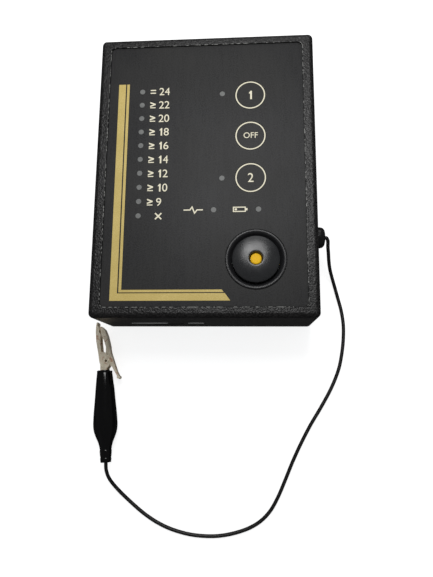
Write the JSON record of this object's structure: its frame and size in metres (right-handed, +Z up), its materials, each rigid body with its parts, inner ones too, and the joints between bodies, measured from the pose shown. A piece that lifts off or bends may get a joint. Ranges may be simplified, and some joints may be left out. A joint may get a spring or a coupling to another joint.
{
  "type": "electronic gold tester",
  "caption": "Flat black counter-top tester with a membrane panel, indicator lamps, a domed probe cup and a test lead that ends in a booted alligator clip.",
  "frame": {"origin": "under the middle of the case, on the plane that its feet stand on", "axes": "+X to the user's right, +Y away from the user along the case, +Z up out of the panel"},
  "size_m": [0.1161, 0.2197, 0.0375],
  "materials": {
    "case_black": "textured",
    "base_black": "satin",
    "overlay": "fine textured",
    "steel": "plated",
    "led_lens": "diffused",
    "board_green": "solder mask",
    "chip_black": "moulded",
    "capacitor_sleeve": "sleeved",
    "resistor_body": "lacquered",
    "battery_case": "printed",
    "wire_red": "satin",
    "wire_black": "satin",
    "hood_black": "satin",
    "tip_yellow": "smooth",
    "cartridge_clear": "frosted",
    "brass": "plain",
    "grommet_black": "glossy",
    "clip_steel": "worn nickel",
    "boot_black": "glossy",
    "rubber_black": "matt"
  },
  "bodies": {
    "case": {"front_shell": "case_black", "rear_shell": "base_black", "panel_overlay": "overlay", "snap_domes": "steel", "karat_leds": "led_lens", "mode_leds": "led_lens", "testing_led": "led_lens", "battery_led": "led_lens", "circuit_board": "board_green", "microcontroller": "chip_black", "amplifier_chip": "chip_black", "voltage_regulator": "chip_black", "capacitors": "capacitor_sleeve", "resistors": "resistor_body", "crystal": "steel", "board_screws": "steel", "battery": "battery_case", "battery_snap": "chip_black", "battery_lead_red": "wire_red", "battery_lead_black": "wire_black", "probe_cup": "case_black", "probe_hood": "hood_black", "probe_tip": "tip_yellow", "gel_cartridge": "cartridge_clear", "electrode_contact": "brass", "lead_grommet": "grommet_black", "inner_lead": "wire_black", "test_lead": "wire_black", "clip_lower_jaw": "clip_steel", "clip_rivet": "clip_steel", "clip_spring": "steel", "clip_boot": "boot_black", "case_screws": "steel", "rubber_feet": "rubber_black"},
    "upper_key": {"key_upper": "overlay"},
    "off_key": {"key_off": "overlay"},
    "lower_key": {"key_lower": "overlay"},
    "door": {"battery_door": "base_black"},
    "knob": {"dispense_knob": "base_black", "lead_screw": "steel"},
    "piston": {"cartridge_piston": "chip_black"},
    "clip_lever": {"clip_upper_jaw": "clip_steel"}
  },
  "joints": [
    {"name": "upper_key_press", "type": "slide", "parent": "case", "child": "upper_key", "axis": [0, 0, -1], "range_m": [0, 0.0003], "stiffness_N_per_m": 2000},
    {"name": "off_key_press", "type": "slide", "parent": "case", "child": "off_key", "axis": [0, 0, -1], "range_m": [0, 0.0003], "stiffness_N_per_m": 2000},
    {"name": "lower_key_press", "type": "slide", "parent": "case", "child": "lower_key", "axis": [0, 0, -1], "range_m": [0, 0.0003], "stiffness_N_per_m": 2000},
    {"name": "door_slide", "type": "slide", "parent": "case", "child": "door", "axis": [0, -1, 0], "range_m": [0, 0.015]},
    {"name": "knob_turn", "type": "hinge", "parent": "case", "child": "knob", "pos_m": [0.0217, -0.0393, 0.0046], "axis": [0, 0, 1], "range_deg": [0, 1440]},
    {"name": "piston_slide", "type": "slide", "parent": "case", "child": "piston", "axis": [0, 0, 1], "range_m": [0, 0.01]},
    {"name": "clip_open", "type": "hinge", "parent": "case", "child": "clip_lever", "pos_m": [-0.04718, -0.07993, 0.00408], "axis": [0.0039, -0.0522, -0.9986], "range_deg": [0, 18], "stiffness_Nm_per_rad": 0.3, "springref_deg": -5.73}
  ],
  "couplings": [
    {"joint": "piston_slide", "follows": "knob_turn", "m_per_rad": 0.00039789}
  ]
}
